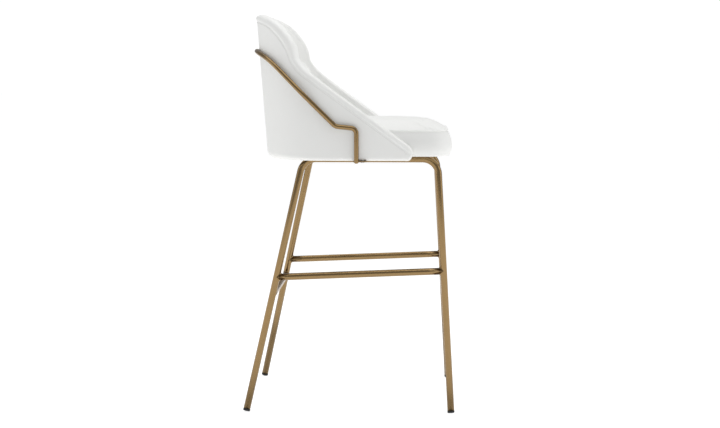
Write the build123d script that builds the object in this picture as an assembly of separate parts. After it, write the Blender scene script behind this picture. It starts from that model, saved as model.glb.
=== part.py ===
"""Bar stool with a wrap-round upholstered back, a brass-finished tube frame and a footrest.

Units are millimetres. The stool stands on the XY plane, +Z is up and its front faces -Y.
X = 0 is the plane of symmetry, and the origin is on the floor, midway between the feet.
"""

from build123d import *
import math
import os

# ---------------------------------------------------------------- frame sizes
TUBE_DIAMETER = 18.0
TUBE_WALL = 1.5
BEND_RADIUS = 42.0              # centre line of the two bends in each side frame
FLOOR_HALF_WIDTH = 235.0        # leg centres at the floor
RAIL_HALF_WIDTH = 152.0         # leg centres at seat-rail height
RAIL_HEIGHT = 656.0             # centre line of the horizontal rail
REAR_FOOT_Y = 267.0
REAR_CORNER_Y = 121.6           # where the rear leg line meets the rail line
FRONT_FOOT_Y = -267.0
FRONT_CORNER_Y = -230.6

SIDE_BAR_REAR_HEIGHT = 348.0
SIDE_BAR_FRONT_HEIGHT = 366.0
REAR_BAR_HEIGHT = 303.0
FOOTREST_HEIGHT = 303.0
WELD_LEG = 3.5                  # size of the fillet weld above and below each bar's end
WELD_SIDE = 0.6                 # how far the weld stands out at the bar's sides

CAP_DIAMETER = 18.6
CAP_HEIGHT = 6.0
CAP_EDGE_RADIUS = 1.8
CAP_STEM_LENGTH = 22.0
CAP_STEM_CLEARANCE = 0.1

# ---------------------------------------------------------------- seat sizes
PLATE_WIDTH = 40.0
PLATE_THICKNESS = 4.0
FRONT_PLATE_Y = -160.0
REAR_PLATE_Y = 60.0
DUST_COVER_THICKNESS = 0.6
BOARD_THICKNESS = 12.0
BOARD_FRONT_INSET = 8.0
BOARD_TIP_Y = -125.0            # where the board narrows, just behind the arm tips
SEAT_TOP = 762.0
SEAT_FRONT_Y = -266.0
SEAT_CORNER_RADIUS = 62.0
SEAT_CROWN_RADIUS = 24.0
SEAT_SKIRT_CLEARANCE = 0.3
COVER_THICKNESS = 1.5
DUST_COVER_INSET = 6.0

# ---------------------------------------------------------------- back shell sizes
SHELL_HALF_WIDTH = 232.0
SHELL_BOTTOM = 655.0
SHELL_REAR_Y = 222.0            # rear face of the shell at its bottom edge
SHELL_LEAN = 0.076              # rearward lean of the back for each millimetre of height
SHELL_CORNER_RADIUS = 165.0     # plan radius of the two rear corners
SHELL_HEIGHT = 400.0            # height of the blank that the side outline is cut from
ARM_LOW = (-150.0, 687.0)       # the straight top edge of the arm, from low to high, as (Y, Z)
ARM_HIGH = (105.0, 873.0)
WING_POINTS = [(140.0, 908.0), (156.0, 946.0), (200.0, 999.0)]
TOP_REAR = (262.0, 1028.0)
TIP_FRONT = (-163.0, 669.0)
TIP_FOOT_Y = -151.0
OUTER_COVER = 2.0
CORE_THICKNESS = 10.0
WRAP_PAD = 18.0
BACK_PAD_DEPTH = 39.0
PAD_GAP = 1.0
BAND_SHIFT = (-9.0, 8.0)        # from the cover's seam to the padded edge, in Y and Z
CORE_SHIFT = (4.8, -6.4)        # from the cover's seam down to the core's edge
UPPER_PAD_SHIFT = (-5.0, 2.0)   # from the cover's seam to the upper pad's edge
LOWER_PAD_GAP = 3.0             # between the seat's top and the lower pad
PAD_FOLD_HEIGHT = 908.0         # where the lower and the upper pad meet
UPPER_PAD_TOP = 1030.0

# ---------------------------------------------------------------- back rod sizes
ROD_DIAMETER = 12.0
ROD_GAP = 0.6                   # between the rod and the shell's outer cover
ROD_FOOT_Y = -21.0
ROD_FOOT_HEIGHT = 648.6
ROD_SHOULDER_HEIGHT = 738.5
ROD_ELBOW_Y = 33.0
ROD_ELBOW_HEIGHT = 744.0
ROD_RISE = 0.986                # climb of the sloping run for each millimetre of depth
ROD_BACK_HEIGHT = 938.0
ROD_END_ROUND = 4.0
TAB_THICKNESS = 3.0
TAB_HOLE_OFFSET = 15.0          # tab screw ahead of the rod's foot
TAB_LENGTH = 34.0
TAB_BEHIND = 8.0                # how far the tab runs behind the rod's axis
TAB_REACH = 20.0                # how far it runs in under the shell
TAB_CORNER = 7.0

# ---------------------------------------------------------------- fastener sizes
BOLT_DIAMETER = 6.0
BOLT_HOLE = 6.6
BOLT_HEAD_DIAMETER = 11.0
BOLT_HEAD_HEIGHT = 3.5
BOLT_X = 90.0
WASHER_DIAMETER = 13.0
WASHER_THICKNESS = 1.2
TEE_NUT_BARREL = 8.0
TEE_NUT_FLANGE = 19.0
TEE_NUT_FLANGE_THICKNESS = 1.5
TEE_NUT_LENGTH = 9.0
BOLT_TIP_DROP = 2.0             # bolt's tip below the board's top
TAB_SCREW_DIAMETER = 4.8
TAB_SCREW_HEAD = 9.5
TAB_SCREW_HEAD_HEIGHT = 2.8
TAB_SCREW_HEAD_ROUND = 1.7
TAB_SCREW_LENGTH = 16.0
SHELL_SCREW_DIAMETER = 4.0
SHELL_SCREW_HEAD = 8.0
SHELL_SCREW_HEAD_HEIGHT = 3.0
SHELL_SCREW_LENGTH = 32.0
SHELL_SCREW_SUNK = 0.5
SHELL_SCREW_SIDE_Y = (-95.0, 10.0)
SHELL_SCREW_REAR_X = (-45.0, 45.0)
HOLE_CLEARANCE = 0.2

# ---------------------------------------------------------------- worked-out heights
TUBE_RADIUS = TUBE_DIAMETER / 2
RAIL_TOP = RAIL_HEIGHT + TUBE_RADIUS
BOARD_BOTTOM = RAIL_TOP + DUST_COVER_THICKNESS
BOARD_TOP = BOARD_BOTTOM + BOARD_THICKNESS
BOARD_MIDDLE = BOARD_BOTTOM + BOARD_THICKNESS / 2
WALL_THICKNESS = OUTER_COVER + CORE_THICKNESS + WRAP_PAD
SEAT_OFFSET = WALL_THICKNESS + PAD_GAP
SIDES = {"left": -1, "right": 1}
FAR = 1000.0                    # larger than the stool, for blocks that only cut


# ================================================================ frame
def leg_point(side, end, height):
    """A point of a leg's centre line at a height, on one side, at the front or the rear."""
    foot_y, corner_y = {
        "front": (FRONT_FOOT_Y, FRONT_CORNER_Y),
        "rear": (REAR_FOOT_Y, REAR_CORNER_Y),
    }[end]
    share = height / RAIL_HEIGHT
    x = FLOOR_HALF_WIDTH + (RAIL_HALF_WIDTH - FLOOR_HALF_WIDTH) * share
    return Vector(SIDES[side] * x, foot_y + (corner_y - foot_y) * share, height)


def leg_direction(side, end):
    """The unit vector up a leg."""
    return (leg_point(side, end, RAIL_HEIGHT) - leg_point(side, end, 0)).normalized()


def cap_base_height(side, end):
    """Height of the middle of a cap's sole, so that its rounded rim just reaches the floor."""
    cosine = leg_direction(side, end).Z
    sine = math.sqrt(1 - cosine**2)
    flat_radius = CAP_DIAMETER / 2 - CAP_EDGE_RADIUS
    return flat_radius * sine + CAP_EDGE_RADIUS * (1 - cosine)


def tube_end(side, end):
    """Centre of a leg's open lower end, where the cap's rim closes it."""
    sole = leg_point(side, end, cap_base_height(side, end))
    return sole + leg_direction(side, end) * CAP_HEIGHT


def side_frame_path(side):
    """Rear leg, rail and front leg as one line with two bends."""
    return FilletPolyline(
        tube_end(side, "rear"),
        leg_point(side, "rear", RAIL_HEIGHT),
        leg_point(side, "front", RAIL_HEIGHT),
        tube_end(side, "front"),
        radius=BEND_RADIUS,
    )


def swept(path, outer_radius, inner_radius=0.0):
    """A round bar, or a tube where an inner radius is given, along a path."""
    section = Circle(outer_radius)
    if inner_radius:
        section -= Circle(inner_radius)
    return sweep(Plane(origin=path @ 0, z_dir=path % 0) * section, path)


def side_frame(side):
    """One bent tube: two legs and the rail between them."""
    return swept(side_frame_path(side), TUBE_RADIUS, TUBE_RADIUS - TUBE_WALL)


def filled_frames():
    """Both side frames without their bores, used to cope what is welded to them."""
    return [swept(side_frame_path(side), TUBE_RADIUS) for side in SIDES]


def cross_bar(start, end, copes):
    """A straight tube between two leg centres, coped to the legs."""
    bar = swept(Line(start, end), TUBE_RADIUS, TUBE_RADIUS - TUBE_WALL)
    for cope in copes:
        bar -= cope
    return bar.solids().sort_by(SortBy.VOLUME)[-1]


def weld_fillet(joint, toward, leg):
    """The flared weld round a bar's end: wide along the leg, and nearly flush at the leg's sides."""
    plane = Plane(origin=joint, x_dir=leg, z_dir=(toward - joint).normalized())
    height = TUBE_RADIUS + WELD_LEG
    length = 4 * TUBE_DIAMETER
    ring = plane * Pos(0, 0, height / 2) * Cone(TUBE_RADIUS + height, TUBE_RADIUS, height)
    ring &= plane * Cylinder(height, length)
    ring -= plane * Cylinder(TUBE_RADIUS, length)
    ring -= Plane(origin=joint, z_dir=leg) * Cylinder(TUBE_RADIUS, length)
    ring &= plane * Box(length, 2 * (TUBE_RADIUS + WELD_SIDE), length)
    return [solid for solid in ring.solids() if solid.volume > 1]


def foot_cap(side, end):
    """A plastic plug with a rounded sole, square to the leg."""
    sole = leg_point(side, end, cap_base_height(side, end))
    plane = Plane(origin=sole, z_dir=leg_direction(side, end))
    rim = Pos(0, 0, CAP_HEIGHT / 2) * Cylinder(CAP_DIAMETER / 2, CAP_HEIGHT)
    rim = fillet(rim.edges().group_by(Axis.Z)[0], CAP_EDGE_RADIUS)
    stem_radius = TUBE_RADIUS - TUBE_WALL - CAP_STEM_CLEARANCE
    stem = Pos(0, 0, CAP_HEIGHT + CAP_STEM_LENGTH / 2) * Cylinder(stem_radius, CAP_STEM_LENGTH)
    return plane * (rim + stem)


def mount_plate(y, copes):
    """A flat bar welded between the rails, with two bolt holes."""
    z = RAIL_TOP - PLATE_THICKNESS / 2
    plate = Pos(0, y, z) * Box(2 * RAIL_HALF_WIDTH, PLATE_WIDTH, PLATE_THICKNESS)
    for cope in copes:
        plate -= cope
    for x in (-BOLT_X, BOLT_X):
        plate -= Pos(x, y, z) * Cylinder(BOLT_HOLE / 2, 2 * PLATE_THICKNESS)
    return plate.solids().sort_by(SortBy.VOLUME)[-1]


# ================================================================ shell outlines
def shell_rear(height):
    """Depth of the shell's rear face at a height."""
    return SHELL_REAR_Y + SHELL_LEAN * (height - SHELL_BOTTOM)


def plan_region(offset, front_y, rear_y, front_radius=0.0):
    """The flat region inside the shell's plan, moved inward by an offset."""
    half_width = SHELL_HALF_WIDTH - offset
    depth = rear_y - offset - front_y
    region = Pos(0, front_y + depth / 2) * Rectangle(2 * half_width, depth)
    corners = region.vertices().group_by(Axis.Y)
    region = fillet(corners[-1], SHELL_CORNER_RADIUS - offset)
    if front_radius:
        region = fillet(region.vertices().group_by(Axis.Y)[0], front_radius)
    return region


def leaning_prism(region, bottom, height):
    """A region raised from a height, leaning rearward with the back."""
    lean = Vector(0, SHELL_LEAN, 1)
    return extrude(Pos(0, 0, bottom) * region, amount=height * lean.length, dir=lean.normalized())


def wall(outer_offset, inner_offset, bottom):
    """A horseshoe wall, open at the front, between two offsets of the shell's plan."""
    front_y = -2 * SHELL_HALF_WIDTH
    rear_y = shell_rear(bottom)
    ring = plan_region(outer_offset, front_y, rear_y)
    ring -= plan_region(inner_offset, front_y - 1, rear_y)
    return leaning_prism(ring, bottom, SHELL_HEIGHT)


def side_outline(shift_y=0.0, shift_z=0.0):
    """The shell seen from the side: rounded arm tip, straight arm, swept-up wing and top."""
    arm_slope = (ARM_HIGH[1] - ARM_LOW[1]) / (ARM_HIGH[0] - ARM_LOW[0])
    tip_foot = (TIP_FOOT_Y, SHELL_BOTTOM)
    tip_rise, top_slope = (-0.6, 1), (1, 0.35)
    below = SHELL_BOTTOM - WALL_THICKNESS
    beyond = TOP_REAR[0] + 2 * WALL_THICKNESS
    edges = [
        Line((TIP_FOOT_Y, below), tip_foot),
        Spline(tip_foot, TIP_FRONT, ARM_LOW, tangents=[tip_rise, (1, arm_slope)]),
        Line(ARM_LOW, ARM_HIGH),
        Spline(ARM_HIGH, *WING_POINTS, TOP_REAR, tangents=[(1, arm_slope), top_slope]),
        Line(TOP_REAR, (beyond, TOP_REAR[1])),
        Line((beyond, TOP_REAR[1]), (beyond, below)),
        Line((beyond, below), (TIP_FOOT_Y, below)),
    ]
    face = make_face(Wire(edges))
    return Plane.YZ * Pos(shift_y, shift_z) * face


def outline_block(shift_y=0.0, shift_z=0.0):
    """The side outline carried right across the stool."""
    return extrude(side_outline(shift_y, shift_z), amount=2 * SHELL_HALF_WIDTH, both=True)


def above(height):
    """Everything over a height."""
    return Pos(0, 0, height + FAR / 2) * Box(FAR, FAR, FAR)


# ================================================================ back shell
def shell_core():
    """The bent plywood wall that stiffens the back and the arms."""
    base = SHELL_BOTTOM + OUTER_COVER
    blank = wall(OUTER_COVER, OUTER_COVER + CORE_THICKNESS, SHELL_BOTTOM)
    return blank & above(base) & outline_block(*CORE_SHIFT)


def outer_cover(core):
    """The leatherette over the outside of the core, turned under its bottom edge."""
    blank = wall(0, OUTER_COVER + CORE_THICKNESS, SHELL_BOTTOM) & outline_block()
    skin = wall(0, OUTER_COVER, SHELL_BOTTOM)
    hem = blank - above(SHELL_BOTTOM + OUTER_COVER)
    return (blank & (skin + hem)) - core


def wrap_pad(core, cover):
    """The padding inside the wall, which also rolls over its top edge and its front ends."""
    depth = SHELL_HALF_WIDTH
    ahead_of_board = Pos(0, BOARD_TIP_Y - PAD_GAP - depth / 2, SHELL_BOTTOM + depth / 2)
    reach = above(BOARD_TOP) + ahead_of_board * Box(FAR, depth, depth)
    pad = wall(0, WALL_THICKNESS, SHELL_BOTTOM) & reach & outline_block(*BAND_SHIFT)
    pad = pad - core - cover
    return pad.solids().sort_by(SortBy.VOLUME)[-1]


def back_pad(bottom, top):
    """A pad across the inside of the back, between two heights."""
    rear_y = shell_rear(bottom)
    front_y = rear_y - SEAT_OFFSET - BACK_PAD_DEPTH
    region = plan_region(SEAT_OFFSET, -SHELL_HALF_WIDTH, rear_y)
    region &= Pos(0, front_y + SHELL_HALF_WIDTH) * Rectangle(4 * SHELL_HALF_WIDTH, 2 * SHELL_HALF_WIDTH)
    return leaning_prism(region, bottom, top - bottom)


# ================================================================ seat
def seat_blank():
    """The cushion's outside: a rounded plan with a crowned top edge."""
    region = plan_region(SEAT_OFFSET, SEAT_FRONT_Y, shell_rear(BOARD_TOP), SEAT_CORNER_RADIUS)
    block = extrude(Pos(0, 0, BOARD_BOTTOM) * region, amount=SEAT_TOP - BOARD_BOTTOM)
    return fillet(block.edges().group_by(Axis.Z)[-1], SEAT_CROWN_RADIUS)


def seat_board_region(clearance=0.0):
    """The plywood's plan: out to the core beside the arms, and set back ahead of them."""
    rear_y = shell_rear(BOARD_BOTTOM)
    inset = BOARD_FRONT_INSET - clearance
    corner = SEAT_CORNER_RADIUS - BOARD_FRONT_INSET
    inside_shell = plan_region(OUTER_COVER + CORE_THICKNESS - clearance, BOARD_TIP_Y, rear_y)
    ahead = plan_region(SEAT_OFFSET + inset, SEAT_FRONT_Y + inset, rear_y, corner)
    return inside_shell + ahead


def seat_board():
    """The plywood base that carries the cushion, with its bolt and tee-nut holes."""
    board = extrude(Pos(0, 0, BOARD_BOTTOM) * seat_board_region(), amount=BOARD_THICKNESS)
    for x, y in bolt_places():
        board -= Pos(x, y, BOARD_MIDDLE) * Cylinder(TEE_NUT_BARREL / 2, 2 * BOARD_THICKNESS)
        recess_z = BOARD_TOP - TEE_NUT_FLANGE_THICKNESS / 2
        board -= Pos(x, y, recess_z) * Cylinder(TEE_NUT_FLANGE / 2, TEE_NUT_FLANGE_THICKNESS)
    return board


def seat_foam(blank):
    """The foam block inside the cushion's cover."""
    region = plan_region(
        SEAT_OFFSET + COVER_THICKNESS,
        SEAT_FRONT_Y + COVER_THICKNESS,
        shell_rear(BOARD_TOP),
        SEAT_CORNER_RADIUS - COVER_THICKNESS,
    )
    height = SEAT_TOP - COVER_THICKNESS - BOARD_TOP
    block = extrude(Pos(0, 0, BOARD_TOP) * region, amount=height)
    return fillet(block.edges().group_by(Axis.Z)[-1], SEAT_CROWN_RADIUS - COVER_THICKNESS) & blank


def seat_cover(blank, foam):
    """The leatherette over the foam, turned down round the front of the board."""
    space = seat_board_region(SEAT_SKIRT_CLEARANCE)
    pocket = extrude(Pos(0, 0, BOARD_BOTTOM - 1) * space, amount=BOARD_THICKNESS + 1)
    return blank - foam - pocket


def dust_cover():
    """The black cloth stapled under the board, with holes for the bolts."""
    region = offset(seat_board_region(), amount=-DUST_COVER_INSET, kind=Kind.INTERSECTION)
    cloth = extrude(Pos(0, 0, RAIL_TOP) * region, amount=DUST_COVER_THICKNESS)
    for x, y in bolt_places():
        cloth -= Pos(x, y, RAIL_TOP) * Cylinder(BOLT_HOLE / 2, 4 * DUST_COVER_THICKNESS)
    return cloth


# ================================================================ back rod
def rod_path():
    """The rod's centre line: foot, upright, short shoulder, slope, and once round the back."""
    reach = ROD_DIAMETER / 2 + ROD_GAP
    x = SHELL_HALF_WIDTH + reach
    rear_y = shell_rear(ROD_BACK_HEIGHT) + reach
    round_radius = SHELL_CORNER_RADIUS + reach
    corner_x = x - round_radius
    corner_y = rear_y - round_radius
    vertex_radius = round_radius / math.cos(math.radians(15))
    bends = []
    for degrees in (15, 45, 75):
        angle = math.radians(degrees)
        across, back = vertex_radius * math.cos(angle), vertex_radius * math.sin(angle)
        bends.append((corner_x + across, corner_y + back))
    heights = [ROD_ELBOW_HEIGHT + ROD_RISE * (y - ROD_ELBOW_Y) for _, y in bends[:2]] + [ROD_BACK_HEIGHT]
    half = [
        (x, ROD_FOOT_Y, ROD_FOOT_HEIGHT),
        (x, ROD_FOOT_Y, ROD_SHOULDER_HEIGHT),
        (x, ROD_ELBOW_Y, ROD_ELBOW_HEIGHT),
    ]
    half += [(px, py, pz) for (px, py), pz in zip(bends, heights)]
    radii = [15.0, 20.0, 165.0, 125.0, 150.0]
    mirrored = [(-px, py, pz) for px, py, pz in half]
    return FilletPolyline(*mirrored, *reversed(half), radius=radii + radii[::-1])


def back_rod():
    """The decorative rod, with rounded feet."""
    rod = swept(rod_path(), ROD_DIAMETER / 2)
    return fillet(rod.edges().group_by(Axis.Z)[0], ROD_END_ROUND)


def tab_screw_place(side):
    """Where a tab's screw goes up into the core, in plan."""
    return (
        SIDES[side] * (SHELL_HALF_WIDTH - OUTER_COVER - CORE_THICKNESS / 2),
        ROD_FOOT_Y - TAB_HOLE_OFFSET,
    )


def rod_tab(side, rod):
    """The small plate welded to the rod's foot and screwed up under the shell."""
    x, y = tab_screw_place(side)
    z = SHELL_BOTTOM - TAB_THICKNESS / 2
    outer_x = SHELL_HALF_WIDTH + ROD_GAP + ROD_DIAMETER / 2
    inner_x = SHELL_HALF_WIDTH - TAB_REACH
    centre = Pos(SIDES[side] * (outer_x + inner_x) / 2, ROD_FOOT_Y + TAB_BEHIND - TAB_LENGTH / 2)
    plan = centre * Rectangle(outer_x - inner_x, TAB_LENGTH)
    plan = fillet(plan.vertices().group_by(Axis.Y)[0], TAB_CORNER)
    tab = extrude(Pos(0, 0, z - TAB_THICKNESS / 2) * plan, amount=TAB_THICKNESS)
    tab -= Pos(x, y, z) * Cylinder(TAB_SCREW_DIAMETER / 2 + HOLE_CLEARANCE, 4 * TAB_THICKNESS)
    tab -= rod
    return tab.solids().sort_by(SortBy.VOLUME)[-1]


# ================================================================ fasteners
def bolt_places():
    """Plan places of the four seat bolts."""
    return [(x, y) for y in (FRONT_PLATE_Y, REAR_PLATE_Y) for x in (-BOLT_X, BOLT_X)]


def seat_bolt(x, y):
    """A hexagon-headed bolt up through a mounting plate."""
    under_plate = RAIL_TOP - PLATE_THICKNESS - WASHER_THICKNESS
    hexagon = Pos(x, y, under_plate) * RegularPolygon(BOLT_HEAD_DIAMETER / 2, 6)
    head = extrude(hexagon, amount=-BOLT_HEAD_HEIGHT)
    length = BOARD_TOP - BOLT_TIP_DROP - under_plate
    return head + Pos(x, y, under_plate + length / 2) * Cylinder(BOLT_DIAMETER / 2, length)


def seat_washer(x, y):
    """A plain washer between bolt head and plate."""
    z = RAIL_TOP - PLATE_THICKNESS - WASHER_THICKNESS / 2
    ring = Cylinder(WASHER_DIAMETER / 2, WASHER_THICKNESS) - Cylinder(BOLT_HOLE / 2, WASHER_THICKNESS)
    return Pos(x, y, z) * ring


def tee_nut(x, y):
    """A tee nut let into the top of the board."""
    flange = Pos(x, y, BOARD_TOP - TEE_NUT_FLANGE_THICKNESS / 2)
    flange *= Cylinder(TEE_NUT_FLANGE / 2, TEE_NUT_FLANGE_THICKNESS)
    barrel = Pos(x, y, BOARD_TOP - TEE_NUT_LENGTH / 2) * Cylinder(TEE_NUT_BARREL / 2, TEE_NUT_LENGTH)
    bore = Pos(x, y, BOARD_MIDDLE) * Cylinder((BOLT_DIAMETER + HOLE_CLEARANCE) / 2, 2 * BOARD_THICKNESS)
    return flange + barrel - bore


def tab_screw(side):
    """The bright pan-head screw under a rod tab."""
    x, y = tab_screw_place(side)
    under_tab = SHELL_BOTTOM - TAB_THICKNESS
    head = Cylinder(TAB_SCREW_HEAD / 2, TAB_SCREW_HEAD_HEIGHT)
    head = fillet(head.edges().group_by(Axis.Z)[0], TAB_SCREW_HEAD_ROUND)
    shank = Cylinder(TAB_SCREW_DIAMETER / 2, TAB_SCREW_LENGTH)
    return (
        Pos(x, y, under_tab - TAB_SCREW_HEAD_HEIGHT / 2) * head
        + Pos(x, y, under_tab + TAB_SCREW_LENGTH / 2) * shank
    )


def shell_screw_planes():
    """Where the core is screwed to the board's edge; each plane looks inward from the core's face."""
    planes = []
    for side in SIDES.values():
        for y in SHELL_SCREW_SIDE_Y:
            origin = (side * (SHELL_HALF_WIDTH - OUTER_COVER), y, BOARD_MIDDLE)
            planes.append(Plane(origin=origin, z_dir=(-side, 0, 0)))
    for x in SHELL_SCREW_REAR_X:
        origin = (x, shell_rear(BOARD_MIDDLE) - OUTER_COVER - SHELL_SCREW_SUNK, BOARD_MIDDLE)
        planes.append(Plane(origin=origin, z_dir=(0, -1, 0)))
    return planes


def shell_screw(plane, clearance=0.0):
    """A flat-headed wood screw, or with a clearance the hole for one."""
    head_radius = SHELL_SCREW_HEAD / 2 + clearance
    shank_radius = SHELL_SCREW_DIAMETER / 2 + clearance
    start = SHELL_SCREW_SUNK - 3 * clearance
    head_height = SHELL_SCREW_HEAD_HEIGHT - start
    head = plane * Pos(0, 0, start + head_height / 2) * Cylinder(head_radius, head_height)
    length = SHELL_SCREW_LENGTH + 6 * clearance
    return head + plane * Pos(0, 0, start + length / 2) * Cylinder(shank_radius, length)


# ================================================================ assembly
def frame_parts():
    """The welded tube frame and its foot caps."""
    copes = filled_frames()
    parts = {}
    bars = {
        "rear_cross_bar": (("left", "rear", REAR_BAR_HEIGHT), ("right", "rear", REAR_BAR_HEIGHT)),
        "front_footrest_bar": (("left", "front", FOOTREST_HEIGHT), ("right", "front", FOOTREST_HEIGHT)),
    }
    for side in SIDES:
        parts[f"side_frame_{side}"] = side_frame(side)
        bars[f"side_stretcher_{side}"] = (
            (side, "rear", SIDE_BAR_REAR_HEIGHT),
            (side, "front", SIDE_BAR_FRONT_HEIGHT),
        )
        for end in ("front", "rear"):
            parts[f"foot_cap_{end}_{side}"] = foot_cap(side, end)
    welds = []
    for name, joints in bars.items():
        start, end = [leg_point(*joint) for joint in joints]
        parts[name] = cross_bar(start, end, copes)
        welds += weld_fillet(start, end, leg_direction(*joints[0][:2]))
        welds += weld_fillet(end, start, leg_direction(*joints[1][:2]))
    parts["weld_fillets"] = Compound(children=welds)
    parts["front_mount_plate"] = mount_plate(FRONT_PLATE_Y, copes)
    parts["rear_mount_plate"] = mount_plate(REAR_PLATE_Y, copes)
    return parts


def upholstery_parts():
    """The seat and the padded back, with the holes that their screws need."""
    board = seat_board()
    core = shell_core()
    cover = outer_cover(core)
    padding = wrap_pad(core, cover)
    for plane in shell_screw_planes():
        hole = shell_screw(plane, HOLE_CLEARANCE / 2)
        board -= hole
        core -= hole
    for side in SIDES:
        x, y = tab_screw_place(side)
        radius = (TAB_SCREW_DIAMETER + HOLE_CLEARANCE) / 2
        hole = Pos(x, y, SHELL_BOTTOM) * Cylinder(radius, 2 * TAB_SCREW_LENGTH)
        cover -= hole
        core -= hole
    blank = seat_blank()
    foam = seat_foam(blank)
    lower_pad = back_pad(SEAT_TOP + LOWER_PAD_GAP, PAD_FOLD_HEIGHT - PAD_GAP)
    upper_pad = back_pad(PAD_FOLD_HEIGHT, UPPER_PAD_TOP) & outline_block(*UPPER_PAD_SHIFT)
    return {
        "back_shell_core": core,
        "back_outer_cover": cover,
        "back_wrap_pad": padding,
        "lower_back_pad": lower_pad,
        "upper_back_pad": upper_pad,
        "seat_board": board,
        "seat_foam": foam,
        "seat_cover": seat_cover(blank, foam),
        "seat_dust_cover": dust_cover(),
    }


def hardware_parts():
    """The rod, its tabs and every fastener."""
    rod = back_rod()
    parts = {"back_rod": rod}
    for side in SIDES:
        parts[f"rod_tab_{side}"] = rod_tab(side, rod)
    parts["rod_tab_screws"] = Compound(children=[tab_screw(side) for side in SIDES])
    parts["seat_bolts"] = Compound(children=[seat_bolt(x, y) for x, y in bolt_places()])
    parts["seat_washers"] = Compound(children=[seat_washer(x, y) for x, y in bolt_places()])
    parts["seat_tee_nuts"] = Compound(children=[tee_nut(x, y) for x, y in bolt_places()])
    parts["shell_screws"] = Compound(children=[shell_screw(plane) for plane in shell_screw_planes()])
    return parts


def main():
    os.makedirs("parts", exist_ok=True)
    for name, shape in {**frame_parts(), **upholstery_parts(), **hardware_parts()}.items():
        export_step(shape, f"parts/{name}.step")


main()
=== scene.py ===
"""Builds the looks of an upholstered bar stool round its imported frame.

Laid out as an add-on: settings hold what a user would change, each operator makes one piece or
one group of like pieces, and main() calls them in order. Lengths are in metres. The stool stands
on the XY plane, faces -Y, and X = 0 is its plane of symmetry.
"""

import math

import bmesh
import bpy
import numpy as np
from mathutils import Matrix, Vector


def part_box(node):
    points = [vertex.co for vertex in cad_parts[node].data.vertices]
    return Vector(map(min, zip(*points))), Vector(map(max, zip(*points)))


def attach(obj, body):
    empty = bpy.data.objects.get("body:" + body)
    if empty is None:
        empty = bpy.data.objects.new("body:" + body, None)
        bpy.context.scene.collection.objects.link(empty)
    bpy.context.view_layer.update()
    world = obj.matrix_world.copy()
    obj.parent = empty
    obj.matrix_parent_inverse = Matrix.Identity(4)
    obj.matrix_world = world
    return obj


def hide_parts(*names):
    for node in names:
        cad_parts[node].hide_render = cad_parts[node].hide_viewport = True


bl_info = {
    "name": "Bar stool upholstery and finishes",
    "version": (1, 0, 0),
    "blender": (4, 5, 0),
    "location": "3D View > Sidebar > Stool",
    "description": "Makes the tubes, padding, leatherette, stitching and finishes of a bar stool",
    "category": "Object",
}

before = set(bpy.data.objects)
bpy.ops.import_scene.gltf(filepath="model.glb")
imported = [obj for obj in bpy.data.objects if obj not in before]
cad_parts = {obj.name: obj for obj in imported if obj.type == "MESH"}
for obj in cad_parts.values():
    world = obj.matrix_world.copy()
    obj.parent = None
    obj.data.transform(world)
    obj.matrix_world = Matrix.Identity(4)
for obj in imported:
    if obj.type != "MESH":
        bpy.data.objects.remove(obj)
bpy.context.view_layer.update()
BODY = "root"
SIDES = {"left": -1.0, "right": 1.0}

# ---------------------------------------------------------------- tube frame, as in the frame
TUBE_RADIUS = 0.009
BEND_RADIUS = 0.042
RAIL_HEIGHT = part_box("side_frame_right")[1].z - TUBE_RADIUS
FLOOR_HALF_WIDTH = 0.235
RAIL_HALF_WIDTH = 0.152
LEGS = {"rear": (0.267, 0.1216), "front": (-0.267, -0.2306)}    # Y at the floor and at the rail
CAP_RADIUS = 0.0093
CAP_HEIGHT = 0.006
CAP_EDGE = 0.0018
CAP_STEM_RADIUS = 0.0074
CAP_STEM_LENGTH = 0.022
BARS = {
    "side_stretcher_left": (("left", "rear", 0.348), ("left", "front", 0.366)),
    "side_stretcher_right": (("right", "rear", 0.348), ("right", "front", 0.366)),
    "rear_cross_bar": (("left", "rear", 0.303), ("right", "rear", 0.303)),
    "front_footrest_bar": (("left", "front", 0.303), ("right", "front", 0.303)),
}
SEGMENTS_ROUND = 40
ARC_STEPS = 20
BAR_SUNK = 0.0006
WELD_AT_SIDES = 0.30
WELD_ALONG_LEG = 0.70
WELD_RIPPLE = 0.06
WELD_BEADS = 9
WELD_FULLNESS = 0.22
WELD_SUNK = 0.0012
BRASS = ("satin_brass", "brass_tube")
LEATHERETTE = ("white_leatherette", "white_leatherette")

# ---------------------------------------------------------------- back shell
SHELL_HALF_WIDTH = 0.232
SHELL_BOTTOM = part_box("back_outer_cover")[0].z
SHELL_REAR = 0.222
SHELL_LEAN = 0.076
CORNER_RADIUS = 0.165
WALL = 0.030
TIP_FRONT = -0.163
TIP_FOOT = -0.151
ARM_LOW = -0.150
SIDE_HEM = 0.009
REAR_HEM = 0.020
SEAM_DIP = 0.0018
SEAM_REACH = 0.006
CORE_OUTER = 0.0045
CORE_INNER = 0.0125
CORE_BOTTOM = 0.668
CORE_TOP_DROP = 0.012
TIP_HEIGHT = 0.669
TIP_RISE = 0.018
TIP_CURL = 0.014
LINING_BOTTOM = 0.672
LINING_SWELL = 0.0022
COVER_THICKNESS = 0.0012
SETTLING_ROUNDS = 12
# The roll along the top: where the head and its crown begin, and how the roll changes there
HEAD_HEIGHT = 0.915
HEAD_BLEND = 0.03
HEAD_FULLER = 0.5
CROWN_HEIGHT = 0.985
CROWN_BLEND = 0.04
CROWN_FLATTER = 0.45
FOLD_HEIGHT = 0.913
FOLD_BLEND = 0.006
FOLD_PINCH = 0.16
ROLL_HALF_WIDTH = WALL / 2 + 0.0012
ROLL_DEPTH = 0.011
ROLL_OVERHANG = 0.0016
ROLL_CLOSING_POINTS = 8
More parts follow.
